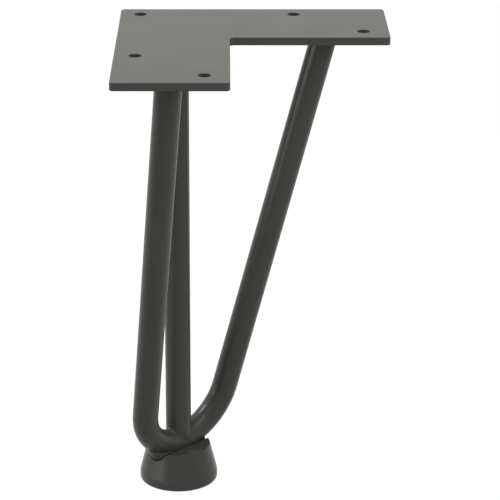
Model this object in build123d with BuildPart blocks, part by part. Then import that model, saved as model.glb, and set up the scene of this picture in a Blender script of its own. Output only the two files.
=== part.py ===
from build123d import *
from math import acos, atan, atan2, cos, degrees, hypot, radians, sin, sqrt, tan
import os

# Hairpin table leg. The origin is on the plate's top face, above the axis of the corner rod and
# the foot. X and Y run along the plate's two outer edges and Z points up to the table top.

# Driving dimensions, in millimetres
overall_height = 187.0

plate_side = 100.0
plate_thickness = 3.0
arm_width = 41.4
outer_corner_radius = 1.5
inner_corner_radius = 1.5
plate_edge_break = 0.3

screw_hole_diameter = 4.5
edge_hole_inset = 7.7
edge_hole_setback = 34.5
tip_hole_inset = 8.9
tip_hole_setback = 9.5

rod_diameter = 10.0
axis_inset = 21.0
hairpin_end_inset = 20.0
hairpin_end_setback = 22.8
bend_radius = 22.0
cope_tip_height = 1.0

foot_height = 14.6
foot_top_diameter = 25.0
foot_base_diameter = 30.8
foot_band_height = 3.0
foot_flank_radius = 8.0
foot_base_round = 0.8
foot_rim_round = 0.3
groove_depth = 3.6
groove_clearance = 0.2
groove_shoulder_radius = 1.2

plate_weld_leg = 3.0
bend_weld_leg = 2.2
foot_weld_start = 4.0
foot_weld_reach = 13.2
weld_overrun = 0.2

# Levels
rod_radius = rod_diameter / 2
plate_underside = -plate_thickness
floor_level = -overall_height
foot_top = floor_level + foot_height
bend_bottom = foot_top - groove_depth + rod_radius
cope_level = bend_bottom + cope_tip_height

# The hairpin's plane holds both rod ends at the plate and the lowest point of the bend. It leans
# outwards, towards the plate's corner, and its two legs close in on each other.
end_near = hairpin_end_inset - axis_inset
end_far = plate_side - hairpin_end_setback - axis_inset
ends_middle = (end_near + end_far) / 2
half_spread = (end_far - end_near) / sqrt(2)
lean_run = ends_middle * sqrt(2)
lean_drop = plate_underside - bend_bottom
lean_angle = atan(lean_run / lean_drop)
bend_centre_depth = hypot(lean_run, lean_drop) - bend_radius
closing_angle = acos(bend_radius / hypot(half_spread, bend_centre_depth)) - atan2(
    bend_centre_depth, half_spread
)
hairpin_plane = Plane(
    origin=(ends_middle, -ends_middle, plate_underside),
    x_dir=(1, 1, 0),
    z_dir=(cos(lean_angle), -cos(lean_angle), -sqrt(2) * sin(lean_angle)),
)


def on_plate(across, along):
    """Point on the plate's top face, measured from its outer corner."""
    return (across - axis_inset, axis_inset - along)


def bend_rise(run):
    """Height that the bend gains at a distance from its lowest point, along its own direction."""
    return bend_radius - sqrt(bend_radius**2 - run**2)


# L-shaped plate with five plain screw holes
with BuildPart() as mounting_plate:
    with BuildSketch(Plane.XY.offset(plate_underside)):
        with BuildLine():
            Polyline(
                on_plate(0, 0),
                on_plate(plate_side, 0),
                on_plate(plate_side, arm_width),
                on_plate(arm_width, arm_width),
                on_plate(arm_width, plate_side),
                on_plate(0, plate_side),
                close=True,
            )
        make_face()
        inner_corner = vertices().sort_by_distance(on_plate(arm_width, arm_width))[0]
        outer_corners = vertices() - ShapeList([inner_corner])
        fillet(inner_corner, inner_corner_radius)
        fillet(outer_corners, outer_corner_radius)
    extrude(amount=plate_thickness)
    rims = edges().group_by(Axis.Z)
    chamfer(rims[0] + rims[-1], plate_edge_break)
    edge_hole_reach = plate_side - edge_hole_setback
    tip_hole_reach = plate_side - tip_hole_setback
    tip_hole_offset = arm_width - tip_hole_inset
    with Locations(
        on_plate(edge_hole_inset, edge_hole_inset),
        on_plate(edge_hole_reach, edge_hole_inset),
        on_plate(edge_hole_inset, edge_hole_reach),
        on_plate(tip_hole_reach, tip_hole_offset),
        on_plate(tip_hole_offset, tip_hole_reach),
    ):
        Hole(screw_hole_diameter / 2, plate_thickness)

# Hairpin: one rod bent round at the bottom, both ends cut flush with the plate
bend_side = bend_radius * cos(closing_angle)
bend_start = -bend_centre_depth - bend_radius * sin(closing_angle)
end_side = half_spread + rod_diameter * tan(closing_angle)
with BuildPart() as hairpin_rod:
    with BuildLine(hairpin_plane) as hairpin_path:
        Line((-end_side, rod_diameter), (-bend_side, bend_start))
        bend = ThreePointArc(
            (-bend_side, bend_start),
            (0, -bend_centre_depth - bend_radius),
            (bend_side, bend_start),
        )
        Line((bend_side, bend_start), (end_side, rod_diameter))
    with BuildSketch(hairpin_path.line ^ 0):
        Circle(rod_radius)
    sweep(path=hairpin_path.line)
    split(bisect_by=Plane.XY.offset(plate_underside), keep=Keep.BOTTOM)

# Corner rod: upright, its lower end coped to sit astride the bend
with BuildPart() as corner_rod:
    with BuildSketch(Plane.XY.offset(plate_underside)):
        Circle(rod_radius)
    extrude(amount=cope_level - plate_underside)
    add(hairpin_rod.part, mode=Mode.SUBTRACT)

# Foot: a turned cone that rounds into an upright band, with a straight groove for the bend
groove_axis = Axis((0, 0, bend_bottom + groove_clearance), (1, 1, 0))
groove_plane = Plane(groove_axis.position, x_dir=(0, 0, 1), z_dir=groove_axis.direction)
with BuildPart() as foot:
    with BuildSketch(Plane.XZ):
        with BuildLine():
            Polyline(
                (0, floor_level),
                (foot_base_diameter / 2, floor_level),
                (foot_base_diameter / 2, floor_level + foot_band_height),
                (foot_top_diameter / 2, foot_top),
                (0, foot_top),
                close=True,
            )
        make_face()
        base, flank, rim = vertices().sort_by(Axis.X)[2:].sort_by(Axis.Y)
        fillet(base, foot_base_round)
        fillet(flank, foot_flank_radius)
        fillet(rim, foot_rim_round)
    revolve(axis=Axis.Z)
    with BuildSketch(groove_plane):
        Circle(rod_radius + groove_clearance)
    extrude(amount=foot_base_diameter, both=True, mode=Mode.SUBTRACT)
    fillet(edges().filter_by(groove_axis), groove_shoulder_radius)

# Fillet welds under the plate, one round each rod's upper end
with BuildPart() as plate_welds:
    for x, y, down in (
        (0, 0, Vector(0, 0, -1)),
        (end_near, -end_far, hairpin_path.line % 0),
        (end_far, -end_near, hairpin_path.line % 1 * -1),
    ):
        drift = Vector(down.X, down.Y) / -down.Z
        heading = degrees(atan2(drift.Y, drift.X))
        stretch = hypot(1, drift.length)
        for drop, radius in (
            (0, rod_radius + plate_weld_leg),
            (plate_weld_leg + weld_overrun, rod_radius - weld_overrun),
        ):
            with BuildSketch(Plane.XY.offset(plate_underside - drop)):
                with Locations(Location((x + drift.X * drop, y + drift.Y * drop), heading)):
                    Ellipse(radius * stretch, radius)
        loft()
    add(hairpin_rod.part, mode=Mode.SUBTRACT)
    add(corner_rod.part, mode=Mode.SUBTRACT)

# Fillet welds in the two hollows where the bend rises away from the corner rod. Each one is deepest
# over the middle of the bend and runs out at the rod's coped tips.
across_bend = Plane((0, 0, bend_bottom), x_dir=(1, 1, 0), z_dir=(1, -1, 0))
with BuildPart() as bend_weld:
    for side in (-1, 1):
        for turn in range(-75, 76, 25):
            share = cos(radians(turn))
            root = rod_radius * share
            toe = root + bend_weld_leg * share
            with BuildSketch(across_bend.offset(rod_radius * sin(radians(turn)))):
                with BuildLine():
                    Polyline(
                        (side * (root - weld_overrun), root - weld_overrun),
                        (side * (root - weld_overrun), toe + bend_rise(root)),
                        (side * toe, root + bend_rise(toe) - weld_overrun),
                        close=True,
                    )
                make_face()
        loft()
    add(hairpin_rod.part, mode=Mode.SUBTRACT)
    add(corner_rod.part, mode=Mode.SUBTRACT)

# Welds that fill both ends of the groove under the rising bend, up to the foot's top
groove_end = foot_base_diameter / 2
with BuildPart() as foot_welds:
    for start in (-groove_end, foot_weld_start):
        with BuildSketch(groove_plane.offset(start)):
            Circle(rod_radius + groove_clearance)
        extrude(amount=groove_end - foot_weld_start)
    with BuildSketch(Plane.XY.offset(foot_top)):
        Circle(foot_weld_reach)
    extrude(amount=-foot_height, mode=Mode.INTERSECT)
    add(hairpin_rod.part, mode=Mode.SUBTRACT)

os.makedirs("parts", exist_ok=True)
mounting_plate.part.label = "mounting_plate"
hairpin_rod.part.label = "hairpin_rod"
corner_rod.part.label = "corner_rod"
foot.part.label = "foot"
plate_welds.part.label = "plate_welds"
bend_weld.part.label = "bend_weld"
foot_welds.part.label = "foot_welds"
for piece in (mounting_plate, hairpin_rod, corner_rod, foot, plate_welds, bend_weld, foot_welds):
    export_step(piece.part, f"parts/{piece.part.label}.step")
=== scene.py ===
"""Hairpin table leg in satin powder coat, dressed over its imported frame.

Lengths are in metres. The origin is on the plate's top face, above the axis of the corner rod and
the foot. The plate's two arms run along +X and -Y, and +Z points up to the table top.
"""

import logging
from dataclasses import dataclass
from enum import Enum, IntEnum
from math import acos, atan2, cos, hypot, pi, radians, sin, sqrt, tan, tau
from typing import Any

import bmesh
import bpy
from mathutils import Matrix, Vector


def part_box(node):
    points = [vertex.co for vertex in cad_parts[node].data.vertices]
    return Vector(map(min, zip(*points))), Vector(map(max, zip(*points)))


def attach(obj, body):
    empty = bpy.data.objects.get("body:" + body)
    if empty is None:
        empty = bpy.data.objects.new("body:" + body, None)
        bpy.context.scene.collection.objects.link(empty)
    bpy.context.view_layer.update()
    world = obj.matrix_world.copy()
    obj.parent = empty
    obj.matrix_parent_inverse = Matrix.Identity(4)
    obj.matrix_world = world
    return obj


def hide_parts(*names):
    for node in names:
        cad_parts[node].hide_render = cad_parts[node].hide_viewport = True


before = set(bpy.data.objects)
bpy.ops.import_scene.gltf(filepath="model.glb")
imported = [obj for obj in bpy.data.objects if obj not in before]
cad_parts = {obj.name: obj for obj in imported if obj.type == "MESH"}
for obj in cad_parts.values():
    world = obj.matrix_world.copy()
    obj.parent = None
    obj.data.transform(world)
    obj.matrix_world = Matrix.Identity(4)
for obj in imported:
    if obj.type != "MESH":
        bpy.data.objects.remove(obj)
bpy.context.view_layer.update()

log = logging.getLogger("hairpin_leg")

BODY = "root"
IMAGE_PIXELS = 500
SENSOR_MM = 36.0
CREASE_ANGLE = radians(35)

# Distances below which two points are one, an edge left by a cut is dropped and a search ends
MERGE_DISTANCE = 1e-6
SLIVER = 5e-6
SEARCH_END = 1e-7

# The bottom of the bend and the foot's groove run along the plate's diagonal
DIAGONAL = Vector((1, 1, 0)).normalized()
ACROSS = Vector((1, -1, 0)).normalized()
UP = Vector((0, 0, 1))


class Hand(IntEnum):
    """Side of the leg along the diagonal: towards the hairpin's front leg or its right leg."""

    FRONT = -1
    RIGHT = 1


class SocketKind(Enum):
    """Kinds of input that a shape tree takes."""

    NUMBER = "NodeSocketFloat"
    COUNT = "NodeSocketInt"
    MATERIAL = "NodeSocketMaterial"


class Ray(Enum):
    """Rays that see the floor as a bright backdrop."""

    CAMERA = "Is Camera Ray"
    GLOSSY = "Is Glossy Ray"
    TRANSMISSION = "Is Transmission Ray"


def add_node(
    tree: bpy.types.NodeTree, kind: str, inputs: dict[str | int, Any] | None = None, **settings: Any
) -> bpy.types.Node:
    """Adds a node to a tree and fills its sockets.

    Args:
        tree: The shader or geometry tree.
        kind: The node's type name.
        inputs: For each socket, by name or place, the socket to link from or the value to set.
        settings: The node's own properties.

    Returns:
        The new node.
    """
    node = tree.nodes.new(kind)
    for name, value in settings.items():
        setattr(node, name, value)
    for key, value in (inputs or {}).items():
        if isinstance(value, bpy.types.NodeSocket):
            tree.links.new(value, node.inputs[key])
        else:
            node.inputs[key].default_value = value
    return node


def add_noise(
    tree: bpy.types.NodeTree, place: bpy.types.NodeSocket, size: float, detail: float
) -> bpy.types.NodeSocket:
    """Adds a noise pattern to a material.

    Args:
        tree: The material's tree.
        place: The coordinates that the pattern lies on.
        size: The width of its coarsest grains.
        detail: How many finer layers it has.

    Returns:
        The socket with the pattern's value.
    """
    inputs = {"Vector": place, "Scale": 1 / size, "Detail": detail}
    return add_node(tree, "ShaderNodeTexNoise", inputs).outputs["Fac"]


def add_object(name: str, data: bpy.types.ID) -> bpy.types.Object:
    """Links a new object to the scene.

    Args:
        name: The object's name.
        data: Its mesh, lamp or camera.

    Returns:
        The new object, at the origin.
    """
    made = bpy.data.objects.new(name, data)
    bpy.context.scene.collection.objects.link(made)
    return made


def path_mesh(name: str, points: list[Vector], closed: bool = False) -> bpy.types.Mesh:
    """Makes a chain of edges for a shape tree to follow.

    Args:
        name: The mesh's name.
        points: The chain's points, in order.
        closed: Whether the last point is joined to the first.

    Returns:
        A mesh of loose edges.
    """
    links = [(index, index + 1) for index in range(len(points) - 1)]
    if closed:
        links.append((len(points) - 1, 0))
    mesh = bpy.data.meshes.new(name)
    mesh.from_pydata(points, links, [])
    return mesh


def rounded_outline(
    corners: list[tuple[float, float]], radii: list[float], steps: int
) -> list[Vector]:
    """Rounds the corners of a closed outline with tangent arcs.

    Args:
        corners: The outline's sharp corners, in order.
        radii: One radius for each corner, 0 where it stays sharp.
        steps: Straight steps in each arc.

    Returns:
        The outline's points in the plane, in the corners' order.
    """
    outline = []
    for index, radius in enumerate(radii):
        corner = Vector(corners[index])
        if radius == 0:
            outline.append(corner)
            continue
        back = (Vector(corners[index - 1]) - corner).normalized()
        ahead = (Vector(corners[(index + 1) % len(corners)]) - corner).normalized()
        half_angle = back.angle(ahead) / 2
        centre = corner + (back + ahead).normalized() * radius / sin(half_angle)
        first = corner + back * radius / tan(half_angle) - centre
        last = corner + ahead * radius / tan(half_angle) - centre
        turn = pi - 2 * half_angle
        for step in range(steps + 1):
            done = turn * step / steps
            outline.append(centre + (first * sin(turn - done) + last * sin(done)) / sin(turn))
    return outline


def mesh_from(name: str, shell: bmesh.types.BMesh) -> bpy.types.Mesh:
    """Turns a worked shell into a mesh and frees it.

    Args:
        name: The mesh's name.
        shell: The shell, which can't be used afterwards.

    Returns:
        The new mesh.
    """
    mesh = bpy.data.meshes.new(name)
    shell.to_mesh(mesh)
    shell.free()
    return mesh


def ring_solid(name: str, rings: list[list[Vector]]) -> bpy.types.Object:
    """Skins a row of rings into a closed solid.

    Args:
        name: The solid's name.
        rings: Rings with the same number of points, in order. The first and the last are capped.

    Returns:
        An object with its faces turned outwards.
    """
    shell = bmesh.new()
    loops = [[shell.verts.new(point) for point in ring] for ring in rings]
    for loop, following in zip(loops, loops[1:]):
        for index in range(len(loop)):
            shell.faces.new((loop[index - 1], loop[index], following[index], following[index - 1]))
    shell.faces.new(loops[0])
    shell.faces.new(loops[-1])
    bmesh.ops.recalc_face_normals(shell, faces=shell.faces)
    return add_object(name, mesh_from(name, shell))


def settle(shape: bpy.types.Object) -> bpy.types.Object:
    """Turns an object's evaluated shape into its own plain mesh.

    Args:
        shape: An object with modifiers.

    Returns:
        The same object, with the result as its mesh and no modifier left.
    """
    evaluated = shape.evaluated_get(bpy.context.evaluated_depsgraph_get())
    mesh = bpy.data.meshes.new_from_object(evaluated)
    rough = shape.data
    shape.modifiers.clear()
    shape.data = mesh
    mesh.name = shape.name
    bpy.data.meshes.remove(rough)
    return shape


def drop_slivers(mesh: bpy.types.Mesh) -> None:
    """Merges the points that a cut leaves too close together and drops faces without area.

    Args:
        mesh: The mesh that was cut.
    """
    shell = bmesh.new()
    shell.from_mesh(mesh)
    bmesh.ops.remove_doubles(shell, verts=shell.verts, dist=SLIVER)
    bmesh.ops.dissolve_degenerate(shell, edges=shell.edges, dist=SLIVER)
    shell.to_mesh(mesh)
    shell.free()


def smooth_shading(shape: bpy.types.Object) -> None:
    """Shades a mesh smoothly up to its creases, with its flat faces kept flat.

    Args:
        shape: The mesh's object.
    """
    shape.data.shade_smooth()
    shape.data.set_sharp_from_angle(angle=CREASE_ANGLE)
    shape.modifiers.new("flat_faces", "WEIGHTED_NORMAL").keep_sharp = True
    settle(shape)


def dress(piece: bpy.types.Object, slot: str, *nodes: str) -> None:
    """Puts a finished piece on the leg in place of its solids.

    Args:
        piece: The finished mesh object.
        slot: The name of the record's material slot for the piece; not used.
        nodes: The solids that it stands for.
    """
    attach(piece, BODY)
    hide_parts(*nodes)
    log.info("%s: %d faces, in place of %s", piece.name, len(piece.data.polygons), ", ".join(nodes))


@dataclass(frozen=True)
class PowderCoat:
    """Satin powder coat with a fine orange-peel skin."""

    slot: str
    colour: tuple[float, float, float] = (0.034, 0.0345, 0.0295)
    roughness: float = 0.3
    roughness_spread: float = 0.05
    refraction: float = 1.25
    peel_size: float = 0.0011
    peel_height: float = 0.000012
    peel_detail: float = 2.0
    mottle_size: float = 0.018
    mottle_share: float = 0.06
    mottle_detail: float = 3.0

    def material(self) -> bpy.types.Material:
        """Builds the coat's material.

        Returns:
            A material that reads Object coordinates and no image.
        """
        coat = bpy.data.materials.new(self.slot)
        coat.use_nodes = True
        tree = coat.node_tree
        tree.nodes.clear()
        place = add_node(tree, "ShaderNodeTexCoord").outputs["Object"]
        mottle = add_noise(tree, place, self.mottle_size, self.mottle_detail)
        peel = add_noise(tree, place, self.peel_size, self.peel_detail)
        thin = [channel * (1 - self.mottle_share) for channel in self.colour]
        thick = [channel * (1 + self.mottle_share) for channel in self.colour]
        colour = add_node(
            tree,
            "ShaderNodeMix",
            {"Factor": mottle, "A": (*thin, 1), "B": (*thick, 1)},
            data_type="RGBA",
        )
        gloss = add_node(
            tree,
            "ShaderNodeMapRange",
            {
                "Value": mottle,
                "To Min": self.roughness - self.roughness_spread,
                "To Max": self.roughness + self.roughness_spread,
            },
        )
        skin = add_node(
            tree, "ShaderNodeBump", {"Height": peel, "Strength": 1.0, "Distance": self.peel_height}
        )
        shader = add_node(
            tree,
            "ShaderNodeBsdfPrincipled",
            {
                "Base Color": colour.outputs["Result"],
                "Roughness": gloss.outputs["Result"],
                "Normal": skin.outputs["Normal"],
                "IOR": self.refraction,
            },
        )
        add_node(tree, "ShaderNodeOutputMaterial", {"Surface": shader.outputs["BSDF"]})
        return coat


class ShapeTree:
    """A geometry node tree with named inputs, which turns a guide mesh into a finished shape."""

    def __init__(self, name: str, **sizes: SocketKind) -> None:
        """Starts the tree with its inputs.

        Args:
            name: The tree's name.
            sizes: The kind of each named input.
        """
        self.group = bpy.data.node_groups.new(name, "GeometryNodeTree")
        face = self.group.interface
        face.new_socket("guide", in_out="INPUT", socket_type="NodeSocketGeometry")
        face.new_socket("shape", in_out="OUTPUT", socket_type="NodeSocketGeometry")
        kinds = {**sizes, "coating": SocketKind.MATERIAL}
        self.keys = {
            size: face.new_socket(size, in_out="INPUT", socket_type=kind.value).identifier
            for size, kind in kinds.items()
        }
        self.given = self.group.nodes.new("NodeGroupInput").outputs

    def add(self, kind: str, inputs: dict[str | int, Any] | None = None, **settings: Any) -> Any:
        """Adds a geometry node and returns its outputs."""
        return add_node(self.group, kind, inputs, **settings).outputs

    def number(self, operation: str, *values: Any) -> bpy.types.NodeSocket:
        """Adds a step of arithmetic and returns its result."""
        return self.add("ShaderNodeMath", dict(enumerate(values)), operation=operation)[0]

    def round_section(self) -> bpy.types.NodeSocket:
        """Adds a circle with the tree's own radius and sides and returns its curve."""
        sizes = {"Resolution": self.given["sides"], "Radius": self.given["radius"]}
        return self.add("GeometryNodeCurvePrimitiveCircle", sizes)["Curve"]

    def close(self, shape: bpy.types.NodeSocket) -> None:
        """Ends the tree in plain coated geometry.

        Args:
            shape: The socket with the tree's geometry.
        """
        whole = self.add("GeometryNodeRealizeInstances", {"Geometry": shape})["Geometry"]
        coated = self.add(
            "GeometryNodeSetMaterial", {"Geometry": whole, "Material": self.given["coating"]}
        )
        add_node(self.group, "NodeGroupOutput", {"shape": coated["Geometry"]})

    def make(self, name: str, guide: bpy.types.Mesh, **sizes: Any) -> bpy.types.Object:
        """Runs the tree on a guide mesh.

        Args:
            name: The finished piece's name.
            guide: The mesh that the shape follows.
            sizes: A value for each named input.

        Returns:
            An object with the finished shape as its own mesh.
        """
        shape = add_object(name, guide)
        modifier = shape.modifiers.new(self.group.name, "NODES")
        modifier.node_group = self.group
        for size, value in sizes.items():
            modifier[self.keys[size]] = value
        return settle(shape)


def rod_tree() -> ShapeTree:
    """Builds the tree for round bar along a path, with its upper ends cut level.

    Returns:
        A tree whose guide is the bar's centreline.
    """
    tree = ShapeTree(
        "round_bar", radius=SocketKind.NUMBER, sides=SocketKind.COUNT, cut_level=SocketKind.NUMBER
    )
    given = tree.given
    path = tree.add("GeometryNodeMeshToCurve", {"Mesh": given["guide"]})["Curve"]
    keep = add_node(tree.group, "GeometryNodeCaptureAttribute", domain="POINT")
    keep.capture_items.new("VECTOR", "direction")
    tree.group.links.new(path, keep.inputs["Geometry"])
    tree.group.links.new(tree.add("GeometryNodeInputTangent")[0], keep.inputs["direction"])
    direction = keep.outputs["direction"]
    section = tree.round_section()
    bar = tree.add(
        "GeometryNodeCurveToMesh",
        {"Curve": keep.outputs["Geometry"], "Profile Curve": section, "Fill Caps": True},
    )
    height = tree.add("ShaderNodeSeparateXYZ", {0: tree.add("GeometryNodeInputPosition")[0]})["Z"]
    slope = tree.add("ShaderNodeSeparateXYZ", {0: direction})["Z"]
    overshoot = tree.number("SUBTRACT", given["cut_level"], height)
    slide = tree.add(
        "ShaderNodeVectorMath",
        {"Vector": direction, "Scale": tree.number("DIVIDE", overshoot, slope)},
        operation="SCALE",
    )
    cut = tree.add(
        "GeometryNodeSetPosition",
        {
            "Geometry": bar["Mesh"],
            "Selection": tree.number("GREATER_THAN", height, given["cut_level"]),
            "Offset": slide["Vector"],
        },
    )
    tree.close(cut["Geometry"])
    return tree


def bead_tree() -> ShapeTree:
    """Builds the tree for a weld bead with the ripples of its passes.

    Returns:
        A tree whose guide is the bead's centreline.
    """
    tree = ShapeTree(
        "weld_bead",
        radius=SocketKind.NUMBER,
        sides=SocketKind.COUNT,
        ripples=SocketKind.COUNT,
        ripple_points=SocketKind.COUNT,
        ripple_depth=SocketKind.NUMBER,
    )
    given = tree.given
    path = tree.add("GeometryNodeMeshToCurve", {"Mesh": given["guide"]})["Curve"]
    fine = tree.add(
        "GeometryNodeResampleCurve",
        {"Curve": path, "Count": tree.number("MULTIPLY", given["ripples"], given["ripple_points"])},
        mode="COUNT",
    )
    share = tree.add("GeometryNodeSplineParameter")["Factor"]
    phase = tree.number("MULTIPLY", tree.number("MULTIPLY", share, pi), given["ripples"])
    crest = tree.number("ABSOLUTE", tree.number("SINE", phase))
    dip = tree.number("MULTIPLY", tree.number("SUBTRACT", 1, crest), given["ripple_depth"])
    swell = tree.number("SUBTRACT", 1, dip)
    section = tree.round_section()
    bead = tree.add(
        "GeometryNodeCurveToMesh",
        {"Curve": fine["Curve"], "Profile Curve": section, "Scale": swell, "Fill Caps": True},
    )
    tree.close(bead["Mesh"])
    return tree


def plate_tree() -> ShapeTree:
    """Builds the tree for a flat plate with round holes punched through it.

    Returns:
        A tree whose guide is the plate's outline with a loose point at each hole's centre.
    """
    tree = ShapeTree(
        "punched_plate",
        level=SocketKind.NUMBER,
        thickness=SocketKind.NUMBER,
        hole_radius=SocketKind.NUMBER,
        hole_sides=SocketKind.COUNT,
    )
    given = tree.given
    outline = tree.add("GeometryNodeMeshToCurve", {"Mesh": given["guide"]})["Curve"]
    neighbours = tree.add("GeometryNodeInputMeshVertexNeighbors")["Vertex Count"]
    centres = tree.add(
        "GeometryNodeMeshToPoints",
        {"Mesh": given["guide"], "Selection": tree.number("LESS_THAN", neighbours, 1)},
    )
    ring = tree.add(
        "GeometryNodeCurvePrimitiveCircle",
        {"Resolution": given["hole_sides"], "Radius": given["hole_radius"]},
    )
    rings = tree.add(
        "GeometryNodeInstanceOnPoints", {"Points": centres["Points"], "Instance": ring["Curve"]}
    )
    holes = tree.add("GeometryNodeRealizeInstances", {"Geometry": rings["Instances"]})
    joined = add_node(tree.group, "GeometryNodeJoinGeometry")
    tree.group.links.new(outline, joined.inputs[0])
    tree.group.links.new(holes["Geometry"], joined.inputs[0])
    flat = tree.add("GeometryNodeFillCurve", {"Curve": joined.outputs[0]}, mode="NGONS")
    lift = tree.add("ShaderNodeCombineXYZ", {"Z": given["level"]})["Vector"]
    sheet = tree.add("GeometryNodeSetPosition", {"Geometry": flat["Mesh"], "Offset": lift})[0]
    raised = tree.add(
        "GeometryNodeExtrudeMesh",
        {
            "Mesh": sheet,
            "Offset": (0, 0, 1),
            "Offset Scale": given["thickness"],
            "Individual": False,
        },
        mode="FACES",
    )
    under = tree.add("GeometryNodeFlipFaces", {"Mesh": sheet})
    body = add_node(tree.group, "GeometryNodeJoinGeometry")
    tree.group.links.new(raised["Mesh"], body.inputs[0])
    tree.group.links.new(under["Mesh"], body.inputs[0])
    whole = tree.add(
        "GeometryNodeMergeByDistance", {"Geometry": body.outputs[0], "Distance": MERGE_DISTANCE}
    )
    tree.close(whole["Geometry"])
    return tree


@dataclass(frozen=True)
class Levels:
    """Heights and sizes that several pieces share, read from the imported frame."""

    plate_low: Vector
    plate_high: Vector
    floor: float
    foot_top: float
    foot_radius: float
    rod_radius: float
    groove_depth: float = 0.0036
    cope_tip_height: float = 0.001

    @classmethod
    def from_frame(cls) -> "Levels":
        """Reads the shared sizes from the solids' boxes.

        Returns:
            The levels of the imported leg.
        """
        plate_low, plate_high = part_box("mounting_plate")
        foot_low, foot_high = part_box("foot")
        rod_low, rod_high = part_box("corner_rod")
        return cls(
            plate_low=plate_low,
            plate_high=plate_high,
            floor=foot_low.z,
            foot_top=foot_high.z,
            foot_radius=(foot_high.x - foot_low.x) / 2,
            rod_radius=(rod_high.x - rod_low.x) / 2,
        )

    @property
    def underside(self) -> float:
        """Height of the plate's underside."""
        return self.plate_low.z

    @property
    def bend_bottom(self) -> float:
        """Height of the rod's centreline at the bottom of the bend."""
        return self.foot_top - self.groove_depth + self.rod_radius

    @property
    def cope_level(self) -> float:
        """Height at which the corner rod ends beside the bend."""
        return self.bend_bottom + self.cope_tip_height


@dataclass
class MountingPlate:
    """L-shaped plate with five plain screw holes."""

    levels: Levels
    coat: bpy.types.Material
    tree: ShapeTree
    arm_width: float = 0.0414
    corner_radius: float = 0.0015
    edge_round: float = 0.0003
    edge_steps: int = 3
    edge_angle: float = radians(60)
    hole_diameter: float = 0.0045
    edge_hole_inset: float = 0.0077
    edge_hole_setback: float = 0.0345
    tip_hole_inset: float = 0.0089
    tip_hole_setback: float = 0.0095
    corner_steps: int = 6
    hole_sides: int = 40

    @property
    def side(self) -> float:
        """Length of the plate's outer edges."""
        return self.levels.plate_high.x - self.levels.plate_low.x

    def on_plate(self, across: float, along: float) -> tuple[float, float]:
        """Point on the plate, measured from its outer corner along both arms."""
        return (self.levels.plate_low.x + across, self.levels.plate_high.y - along)

    def outline(self) -> list[Vector]:
        """Lays out the L, with every corner rounded.

        Returns:
            The points of the outline, in order.
        """
        side = self.side
        corners = [
            self.on_plate(0, 0),
            self.on_plate(0, side),
            self.on_plate(self.arm_width, side),
            self.on_plate(self.arm_width, self.arm_width),
            self.on_plate(side, self.arm_width),
            self.on_plate(side, 0),
        ]
        return rounded_outline(corners, [self.corner_radius] * len(corners), self.corner_steps)

    def hole_centres(self) -> list[tuple[float, float]]:
        """Places the screw holes.

        Returns:
            The centres of the corner hole, the two edge holes and the two tip holes.
        """
        edge = self.side - self.edge_hole_setback
        tip = self.side - self.tip_hole_setback
        tip_across = self.arm_width - self.tip_hole_inset
        inset = self.edge_hole_inset
        places = [
            (inset, inset),
            (edge, inset),
            (inset, edge),
            (tip, tip_across),
            (tip_across, tip),
        ]
        return [self.on_plate(across, along) for across, along in places]

    def build(self) -> None:
        """Makes the plate with rounded rims and puts it on the leg."""
        level = self.levels.underside
        guide = path_mesh("plate_outline", [point.to_3d() for point in self.outline()], closed=True)
        first_hole = len(guide.vertices)
        centres = self.hole_centres()
        guide.vertices.add(len(centres))
        for offset, (x, y) in enumerate(centres):
            guide.vertices[first_hole + offset].co = (x, y, 0)
        plate = self.tree.make(
            "mounting_plate_coated",
            guide,
            level=level,
            thickness=self.levels.plate_high.z - level,
            hole_radius=self.hole_diameter / 2,
            hole_sides=self.hole_sides,
            coating=self.coat,
        )
        rims = plate.modifiers.new("rounded_rims", "BEVEL")
        rims.width = self.edge_round
        rims.segments = self.edge_steps
        rims.limit_method = "ANGLE"
        rims.angle_limit = self.edge_angle
        settle(plate)
        smooth_shading(plate)
        dress(plate, "leg_coating", "mounting_plate")


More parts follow.
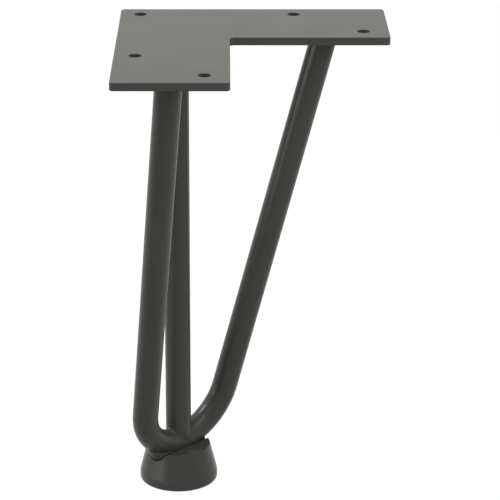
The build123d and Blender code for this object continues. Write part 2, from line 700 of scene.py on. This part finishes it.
@dataclass
class Hairpin:
    """Round bar bent back at the foot, in a plane that leans out to the plate's corner."""

    levels: Levels
    coat: bpy.types.Material
    tree: ShapeTree
    end_inset: float = 0.020
    end_setback: float = 0.0228
    bend_radius: float = 0.022
    bend_steps: int = 56
    leg_steps: int = 12
    sides: int = 64
    search_radii: float = 4.0

    def __post_init__(self) -> None:
        """Works out the hairpin's plane, the centre of its bend and how far its legs close in."""
        levels = self.levels
        end_near = levels.plate_low.x + self.end_inset
        end_far = levels.plate_high.x - self.end_setback
        middle = (end_near + end_far) / 2
        self.top = Vector((middle, -middle, levels.underside))
        bottom = Vector((0, 0, levels.bend_bottom))
        self.rise = (self.top - bottom).normalized()
        self.bend_centre = bottom + self.rise * self.bend_radius
        self.half_spread = (end_far - end_near) / sqrt(2)
        depth = (self.top - self.bend_centre).length
        reach = hypot(self.half_spread, depth)
        self.closing = acos(self.bend_radius / reach) - atan2(depth, self.half_spread)

    def ends(self) -> list[tuple[Vector, Vector]]:
        """Finds where the legs meet the plate.

        Returns:
            For the front and the right leg, the end of its centreline and its direction downwards.
        """
        found = []
        for hand in Hand:
            foot = self.bend_point(hand * (pi / 2 - self.closing))
            end = self.top + DIAGONAL * hand * self.half_spread
            found.append((end, (foot - end).normalized()))
        return found

    def bend_point(self, turn: float) -> Vector:
        """Point of the bend's centreline, by its angle from the bottom towards the right leg."""
        radial = DIAGONAL * sin(turn) - self.rise * cos(turn)
        return self.bend_centre + radial * self.bend_radius

    def centreline(self) -> list[Vector]:
        """Lays out the bar's path, which goes past the plate at both ends.

        Returns:
            Points down the front leg, round the bend and up the right leg.
        """
        (front, front_down), (right, right_down) = self.ends()
        overshoot = 2 * self.levels.rod_radius
        sweep = pi - 2 * self.closing
        bend = [
            self.bend_point(sweep * (step / self.bend_steps - 0.5))
            for step in range(self.bend_steps + 1)
        ]
        shares = [step / self.leg_steps for step in range(1, self.leg_steps)]
        front_leg = [front.lerp(bend[0], share) for share in shares]
        right_leg = [bend[-1].lerp(right, share) for share in shares]
        start = front - front_down * overshoot
        finish = right - right_down * overshoot
        return [start, *front_leg, *bend, *right_leg, finish]

    def gap(self, point: Vector) -> float:
        """Measures how far a point is from the surface of the bend.

        Args:
            point: Any point near the bend.

        Returns:
            The distance, negative inside the rod.
        """
        offset = point - self.bend_centre
        along, up = offset.dot(DIAGONAL), offset.dot(self.rise)
        aside = (offset - DIAGONAL * along - self.rise * up).length
        return hypot(hypot(along, up) - self.bend_radius, aside) - self.levels.rod_radius

    def top_at(self, x: float, y: float) -> float:
        """Searches upwards from the cope's level for the bend's upper surface.

        Args:
            x: The place along +X.
            y: The place along +Y.

        Returns:
            The height of the surface there, or the cope's level where the bend lies below it.
        """
        low = self.levels.cope_level
        high = low + self.search_radii * self.levels.rod_radius
        if self.gap(Vector((x, y, low))) > 0:
            return low
        while high - low > SEARCH_END:
            level = (low + high) / 2
            if self.gap(Vector((x, y, level))) > 0:
                high = level
            else:
                low = level
        return high

    def build(self) -> None:
        """Sweeps the bar along its path and puts it on the leg."""
        rod = self.tree.make(
            "hairpin_rod_coated",
            path_mesh("hairpin_path", self.centreline()),
            radius=self.levels.rod_radius,
            sides=self.sides,
            cut_level=self.levels.underside,
            coating=self.coat,
        )
        smooth_shading(rod)
        dress(rod, "leg_coating", "hairpin_rod")


@dataclass
class CornerRod:
    """Upright bar under the plate's corner, coped to sit astride the bend."""

    levels: Levels
    coat: bpy.types.Material
    tree: ShapeTree
    hairpin: Hairpin
    sides: int = 64

    def build(self) -> None:
        """Makes the bar, fits its lower end to the bend and puts it on the leg."""
        levels = self.levels
        overshoot = 2 * levels.rod_radius
        ends = [Vector((0, 0, levels.underside + overshoot)), Vector((0, 0, levels.cope_level))]
        rod = self.tree.make(
            "corner_rod_coated",
            path_mesh("corner_rod_path", ends),
            radius=levels.rod_radius,
            sides=self.sides,
            cut_level=levels.underside,
            coating=self.coat,
        )
        self.cope(rod.data)
        smooth_shading(rod)
        dress(rod, "leg_coating", "corner_rod")

    def cope(self, mesh: bpy.types.Mesh) -> None:
        """Shapes the lower end of the bar to the bend's upper surface.

        Args:
            mesh: The plain bar.
        """
        shell = bmesh.new()
        shell.from_mesh(mesh)
        shell.faces.ensure_lookup_table()
        lower_cap = min(shell.faces, key=lambda face: face.calc_center_median().z)
        bmesh.ops.poke(shell, faces=[lower_cap])
        middle = (self.levels.underside + self.levels.cope_level) / 2
        for corner in shell.verts:
            if corner.co.z < middle:
                corner.co.z = self.hairpin.top_at(corner.co.x, corner.co.y)
        shell.to_mesh(mesh)
        shell.free()


@dataclass
class Foot:
    """Turned cone that rounds into an upright band, with a groove across it for the bend."""

    levels: Levels
    coat: bpy.types.Material
    top_diameter: float = 0.025
    band_height: float = 0.003
    flank_radius: float = 0.008
    base_round: float = 0.0008
    rim_round: float = 0.0003
    groove_clearance: float = 0.0002
    shoulder_radius: float = 0.0012
    sides: int = 144
    arc_steps: int = 10
    groove_steps: int = 28
    cutter_overrun: float = 1.5

    def profile(self) -> list[Vector]:
        """Lays out the half section of the foot.

        Returns:
            Points of radius and height, from the axis at the floor to the axis at the top.
        """
        floor, top, radius = self.levels.floor, self.levels.foot_top, self.levels.foot_radius
        corners = [
            (0, floor),
            (radius, floor),
            (radius, floor + self.band_height),
            (self.top_diameter / 2, top),
            (0, top),
        ]
        radii = [0, self.base_round, self.flank_radius, self.rim_round, 0]
        return rounded_outline(corners, radii, self.arc_steps)

    def groove_section(self) -> list[Vector]:
        """Lays out the section of the groove with its rounded shoulders.

        Returns:
            Points of distance from the foot's axis and height, from shoulder to shoulder.
        """
        top = self.levels.foot_top
        radius = self.levels.rod_radius + self.groove_clearance
        centre = self.levels.bend_bottom + self.groove_clearance
        drop = centre - top + self.shoulder_radius
        reach = radius + self.shoulder_radius
        shoulder = sqrt(reach**2 - drop**2)
        lean = atan2(shoulder, drop)
        section = [Vector((-shoulder, top + radius))]
        for step in range(self.arc_steps + 1):
            turn = lean * step / self.arc_steps
            across = self.shoulder_radius * sin(turn) - shoulder
            section.append(Vector((across, top - self.shoulder_radius * (1 - cos(turn)))))
        for step in range(1, self.groove_steps):
            turn = lean * (2 * step / self.groove_steps - 1)
            section.append(Vector((radius * sin(turn), centre - radius * cos(turn))))
        section += [Vector((-point.x, point.y)) for point in section[self.arc_steps + 1 :: -1]]
        return section

    def blank(self) -> bpy.types.Mesh:
        """Turns the half section round the axis.

        Returns:
            The mesh of a closed solid, without its groove.
        """
        shell = bmesh.new()
        ring = [shell.verts.new((point.x, 0, point.y)) for point in self.profile()]
        chain = [shell.edges.new(pair) for pair in zip(ring, ring[1:])]
        bmesh.ops.spin(
            shell, geom=ring + chain, axis=(0, 0, 1), cent=(0, 0, 0), steps=self.sides, angle=tau
        )
        bmesh.ops.remove_doubles(shell, verts=shell.verts, dist=MERGE_DISTANCE)
        bmesh.ops.recalc_face_normals(shell, faces=shell.faces)
        return mesh_from("foot_blank", shell)

    def cutter(self) -> bpy.types.Object:
        """Makes the bar that cuts the groove, along the plate's diagonal.

        Returns:
            A closed solid that passes both sides of the foot.
        """
        half_length = DIAGONAL * self.levels.foot_radius * self.cutter_overrun
        shell = bmesh.new()
        start = [
            shell.verts.new(ACROSS * point.x + UP * point.y - half_length)
            for point in self.groove_section()
        ]
        cap = shell.faces.new(start)
        bar = bmesh.ops.extrude_face_region(shell, geom=[cap])
        moved = [part for part in bar["geom"] if isinstance(part, bmesh.types.BMVert)]
        bmesh.ops.translate(shell, verts=moved, vec=half_length * 2)
        bmesh.ops.recalc_face_normals(shell, faces=shell.faces)
        return add_object("groove_cutter", mesh_from("groove_cutter", shell))

    def build(self) -> None:
        """Cuts the groove into the turned cone and puts the foot on the leg."""
        foot = add_object("foot_coated", self.blank())
        cutter = self.cutter()
        groove = foot.modifiers.new("groove", "BOOLEAN")
        groove.operation = "DIFFERENCE"
        groove.solver = "EXACT"
        groove.object = cutter
        settle(foot)
        bpy.data.objects.remove(cutter)
        drop_slivers(foot.data)
        foot.data.materials.clear()
        foot.data.materials.append(self.coat)
        smooth_shading(foot)
        dress(foot, "foot_coating", "foot")


@dataclass(frozen=True)
class GrooveEnd:
    """Shape of the weld at one end of the foot's groove.

    Attributes:
        hand: The end of the groove.
        reach: Distance of the end face's lowest point from the foot's axis.
        rim: Distance of the end face's upper corners from the foot's axis.
        lean: How far the end face comes forward for each unit of height.
        arch: How far the filling swells above the foot's top.
    """

    hand: Hand
    reach: float
    rim: float
    lean: float
    arch: float


@dataclass
class Welds:
    """Beads under the plate, fillets on the bend and fillings in both ends of the foot's groove."""

    levels: Levels
    coat: bpy.types.Material
    tree: ShapeTree
    hairpin: Hairpin
    bead_inset: float = 0.0009
    bead_radius: float = 0.00225
    bead_sides: int = 20
    ripple_pitch: float = 0.0016
    ripple_points: int = 10
    ripple_depth: float = 0.09
    ring_steps: int = 72
    bend_leg: float = 0.0018
    bend_span: float = radians(80)
    bend_root: float = 0.0004
    bend_sink: float = 0.00005
    tangent_share: float = 0.01
    section_steps: int = 40
    curve_steps: int = 12
    foot_start: float = 0.004
    foot_slack: float = 0.0002
    foot_ring_shares: tuple[float, ...] = (1.0, 0.96, 0.85, 0.65, 0.4, 0.15)
    groove_ends: tuple[GrooveEnd, ...] = (
        GrooveEnd(hand=Hand.FRONT, reach=0.0132, rim=0.0117, lean=0.7, arch=0.0029),
        GrooveEnd(hand=Hand.RIGHT, reach=0.0115, rim=0.0105, lean=0.0, arch=0.0),
    )

    def plate_rings(self) -> list[list[Vector]]:
        """Lays out the three beads between the rods and the plate.

        Returns:
            The closed centreline of each bead.
        """
        levels = self.levels
        upright = (Vector((0, 0, levels.underside)), -UP)
        radius = levels.rod_radius + self.bead_inset
        turns = [tau * step / self.ring_steps for step in range(self.ring_steps)]
        rings = []
        for end, down in (upright, *self.hairpin.ends()):
            drift = down / -down.z
            centre = end + drift * self.bead_inset
            lean = Vector((drift.x, drift.y, 0))
            long_way = lean.normalized() if lean.length > 0 else Vector((1, 0, 0))
            short_way = Vector((-long_way.y, long_way.x, 0))
            stretch = hypot(1, lean.length)
            rings.append(
                [
                    centre + (long_way * cos(turn) * stretch + short_way * sin(turn)) * radius
                    for turn in turns
                ]
            )
        return rings

    def bead(self, name: str, path: list[Vector]) -> bpy.types.Object:
        """Runs one rippled bead round a closed path.

        Args:
            name: The bead's name.
            path: The bead's centreline.

        Returns:
            An object with the bead.
        """
        length = sum((after - before).length for before, after in zip(path, path[1:]))
        return self.tree.make(
            name,
            path_mesh(name, path, closed=True),
            radius=self.bead_radius,
            sides=self.bead_sides,
            ripples=round(length / self.ripple_pitch),
            ripple_points=self.ripple_points,
            ripple_depth=self.ripple_depth,
            coating=self.coat,
        )

    def on_bend(self, run: float, aside: float) -> Vector:
        """Finds a point on the bend's upper surface.

        Args:
            run: Its distance from the foot's axis along the bend.
            aside: Its distance from the foot's axis across the bend.

        Returns:
            The point.
        """
        point = DIAGONAL * run + ACROSS * aside
        point.z = self.hairpin.top_at(point.x, point.y)
        return point

    def fillet(self, hand: Hand) -> list[list[Vector]]:
        """Lays out the fillet in one hollow between the corner rod and the bend.

        Args:
            hand: The leg that the hollow lies towards.

        Returns:
            Sections from tip to tip, each a concave curve and a point hidden inside both rods.
        """
        radius = self.levels.rod_radius
        sections = []
        for step in range(self.section_steps + 1):
            turn = self.bend_span * (2 * step / self.section_steps - 1)
            aside, run = radius * sin(turn), hand * radius * cos(turn)
            fade = (cos(turn) - cos(self.bend_span)) / (1 - cos(self.bend_span))
            leg = max(self.bend_leg * fade, self.bend_sink)
            corner = self.on_bend(run, aside)
            lower = self.on_bend(run + hand * leg, aside)
            ahead = self.on_bend(run + hand * leg * (1 + self.tangent_share), aside)
            middle = lower + (lower - ahead) / self.tangent_share
            upper = corner + UP * leg
            sink = (DIAGONAL * hand + UP) * -self.bend_sink
            curve = []
            for piece in range(self.curve_steps + 1):
                share = piece / self.curve_steps
                above, below = upper.lerp(middle, share), middle.lerp(lower, share)
                curve.append(above.lerp(below, share) + sink)
            hidden = corner - (DIAGONAL * hand + UP) * self.bend_root
            sections.append([*curve, hidden])
        return sections

    def filling(self, end: GrooveEnd) -> list[list[Vector]]:
        """Lays out the filling between the bend and the foot at one end of the groove.

        Args:
            end: The end of the groove.

        Returns:
            Rings from inside the groove to the middle of the swollen end face.
        """
        levels = self.levels
        radius = levels.rod_radius - self.foot_slack
        brim = levels.foot_top - levels.bend_bottom
        span = acos(-brim / radius)
        outline = []
        for step in range(self.section_steps + 1):
            turn = span * (2 * step / self.section_steps - 1)
            outline.append(Vector((radius * sin(turn), -radius * cos(turn))))
        edge = outline[-1].x
        taper = (end.reach + end.lean * (brim + radius) - end.rim) / edge**2
        for point in outline[-2:0:-1]:
            outline.append(Vector((point.x, brim + end.arch * (1 - (point.x / edge) ** 2))))
        middle = Vector((0, (brim - radius) / 2))
        rings = [[self.in_groove(end.hand * self.foot_start, point) for point in outline]]
        for share in self.foot_ring_shares:
            ring = []
            for corner in outline:
                point = middle.lerp(corner, share)
                reach = end.reach + end.lean * (point.y + radius) - taper * point.x**2
                ring.append(self.in_groove(end.hand * reach, point))
            rings.append(ring)
        return rings

    def in_groove(self, run: float, point: Vector) -> Vector:
        """Point of the groove's section, carried along the groove."""
        return DIAGONAL * run + ACROSS * point.x + UP * (self.levels.bend_bottom + point.y)

    def joined(self, name: str, parts: list[bpy.types.Object]) -> bpy.types.Object:
        """Joins several welds into one piece.

        Args:
            name: The piece's name.
            parts: The separate welds.

        Returns:
            One object with all of them as its mesh.
        """
        shell = bmesh.new()
        for part in parts:
            shell.from_mesh(part.data)
            bpy.data.objects.remove(part)
        mesh = mesh_from(name, shell)
        mesh.materials.append(self.coat)
        return add_object(name, mesh)

    def build(self) -> None:
        """Lays all the welds and puts them on the leg."""
        ends = self.groove_ends
        welds = {
            "plate_welds": [self.bead("plate_bead", ring) for ring in self.plate_rings()],
            "bend_weld": [ring_solid("bend_fillet", self.fillet(hand)) for hand in Hand],
            "foot_welds": [ring_solid("foot_filling", self.filling(end)) for end in ends],
        }
        for node, parts in welds.items():
            piece = self.joined(f"{node}_coated", parts)
            smooth_shading(piece)
            dress(piece, "leg_coating", node)


@dataclass(frozen=True)
class Softbox:
    """A soft rectangular lamp that faces the leg.

    Attributes:
        name: The lamp's name.
        place: Where it hangs.
        width: Its width.
        height: Its height.
        power: Its power in watts.
        mirrored: Whether glossy surfaces show it.
    """

    name: str
    place: tuple[float, float, float]
    width: float
    height: float
    power: float
    mirrored: bool = True

    def hang(self, aim: Vector) -> None:
        """Hangs the lamp in its place.

        Args:
            aim: The point that its face is turned to.
        """
        lamp = bpy.data.lights.new(self.name, "AREA")
        lamp.shape = "RECTANGLE"
        lamp.size = self.width
        lamp.size_y = self.height
        lamp.energy = self.power
        made = add_object(self.name, lamp)
        made.visible_glossy = self.mirrored
        made.location = self.place
        made.rotation_euler = (aim - made.location).to_track_quat("-Z", "Y").to_euler()


@dataclass
class Studio:
    """Pale floor, soft light and the camera of the photograph's view."""

    floor_level: float
    camera_place: tuple[float, float, float] = (0.018817, -0.812136, 0.215329)
    camera_pitch: float = radians(20.6256)
    focal_pixels: float = 2242.11
    centre_column: float = 225.70
    clip_distance: float = 100.0
    floor_size: float = 12.0
    bright_side: tuple[float, float, float] = (-0.6, 0.77, 0.2)
    bright_strength: float = 1.31
    dark_strength: float = 0.3
    room_tint: tuple[float, float, float] = (0.99, 1.0, 0.94)
    floor_grey: float = 0.1
    backdrop_white: float = 0.9
    backdrop_glow: float = 0.9
    softboxes: tuple[Softbox, ...] = (
        Softbox("right_softbox", (0.4, -0.35, 0.1), 0.3, 0.3, 2.5, mirrored=False),
        Softbox("low_softbox", (-1.0, -0.42, -0.09), 0.8, 0.17, 4.2),
        Softbox("high_softbox", (0.1, -0.6, 0.95), 0.9, 0.6, 7.0),
        Softbox("left_softbox", (-0.85, 0.2, 0.6), 0.3, 0.3, 8.0),
    )

    def floor_material(self) -> bpy.types.Material:
        """Builds the floor's material: matt, and near white where it is seen as the backdrop.

        Returns:
            A material that keeps the leg's shadow in both.
        """
        paint = bpy.data.materials.new("pale_floor")
        paint.use_nodes = True
        tree = paint.node_tree
        tree.nodes.clear()
        path = add_node(tree, "ShaderNodeLightPath").outputs
        seen = path[Ray.CAMERA.value]
        for ray in (Ray.GLOSSY, Ray.TRANSMISSION):
            either = {0: seen, 1: path[ray.value]}
            seen = add_node(tree, "ShaderNodeMath", either, operation="MAXIMUM").outputs[0]
        matt = add_node(tree, "ShaderNodeBsdfDiffuse", {"Color": (*[self.floor_grey] * 3, 1)})
        pale = add_node(tree, "ShaderNodeBsdfDiffuse", {"Color": (*[self.backdrop_white] * 3, 1)})
        glow = add_node(tree, "ShaderNodeEmission", {"Color": (1, 1, 1, 1), "Strength": 1.0})
        backdrop = add_node(
            tree,
            "ShaderNodeMixShader",
            {0: self.backdrop_glow, 1: pale.outputs[0], 2: glow.outputs[0]},
        )
        floor = add_node(
            tree, "ShaderNodeMixShader", {0: seen, 1: matt.outputs[0], 2: backdrop.outputs[0]}
        )
        add_node(tree, "ShaderNodeOutputMaterial", {"Surface": floor.outputs[0]})
        return paint

    def build(self) -> None:
        """Lays the floor, lights the scene and sets up the camera."""
        half, level = self.floor_size / 2, self.floor_level
        corners = [(-half, -half), (half, -half), (half, half), (-half, half)]
        sheet = bpy.data.meshes.new("floor")
        sheet.from_pydata([(x, y, level) for x, y in corners], [], [(0, 1, 2, 3)])
        sheet.materials.append(self.floor_material())
        add_object("floor", sheet)
        aim = Vector((0, 0, level / 2))
        for softbox in self.softboxes:
            softbox.hang(aim)
        self.light_world()
        self.set_camera()

    def light_world(self) -> None:
        """Fills the scene with soft light that grows towards one side of the room."""
        world = bpy.data.worlds.new("white_studio")
        world.use_nodes = True
        tree = world.node_tree
        heading = add_node(tree, "ShaderNodeTexCoord").outputs["Generated"]
        facing = add_node(
            tree, "ShaderNodeVectorMath", {0: heading, 1: self.bright_side}, operation="DOT_PRODUCT"
        )
        level = add_node(
            tree,
            "ShaderNodeMapRange",
            {
                "Value": facing.outputs["Value"],
                "From Min": -1.0,
                "To Min": self.dark_strength,
                "To Max": self.bright_strength,
            },
        )
        room = tree.nodes["Background"]
        room.inputs["Color"].default_value = (*self.room_tint, 1)
        tree.links.new(level.outputs["Result"], room.inputs["Strength"])
        bpy.context.scene.world = world

    def set_camera(self) -> None:
        """Places the camera at the photograph's viewpoint, with its framing."""
        lens = bpy.data.cameras.new("camera")
        lens.sensor_fit = "HORIZONTAL"
        lens.sensor_width = SENSOR_MM
        lens.lens = self.focal_pixels * SENSOR_MM / IMAGE_PIXELS
        lens.shift_x = 0.5 - self.centre_column / IMAGE_PIXELS
        lens.clip_end = self.clip_distance
        camera = add_object("camera", lens)
        camera.location = self.camera_place
        camera.rotation_euler = (pi / 2 - self.camera_pitch, 0, 0)
        bpy.context.scene.camera = camera


def main() -> None:
    """Dresses the leg piece by piece, then sets up the studio."""
    logging.basicConfig(level=logging.INFO, format="%(name)s: %(message)s")
    bpy.context.scene.view_settings.view_transform = "Standard"
    levels = Levels.from_frame()
    leg_coat = PowderCoat("leg_coating").material()
    foot_coat = PowderCoat("foot_coating").material()
    bar = rod_tree()
    MountingPlate(levels, leg_coat, plate_tree()).build()
    hairpin = Hairpin(levels, leg_coat, bar)
    hairpin.build()
    CornerRod(levels, leg_coat, bar, hairpin).build()
    Foot(levels, foot_coat).build()
    Welds(levels, leg_coat, bead_tree(), hairpin).build()
    Studio(levels.floor).build()


if __name__ == "__main__":
    main()
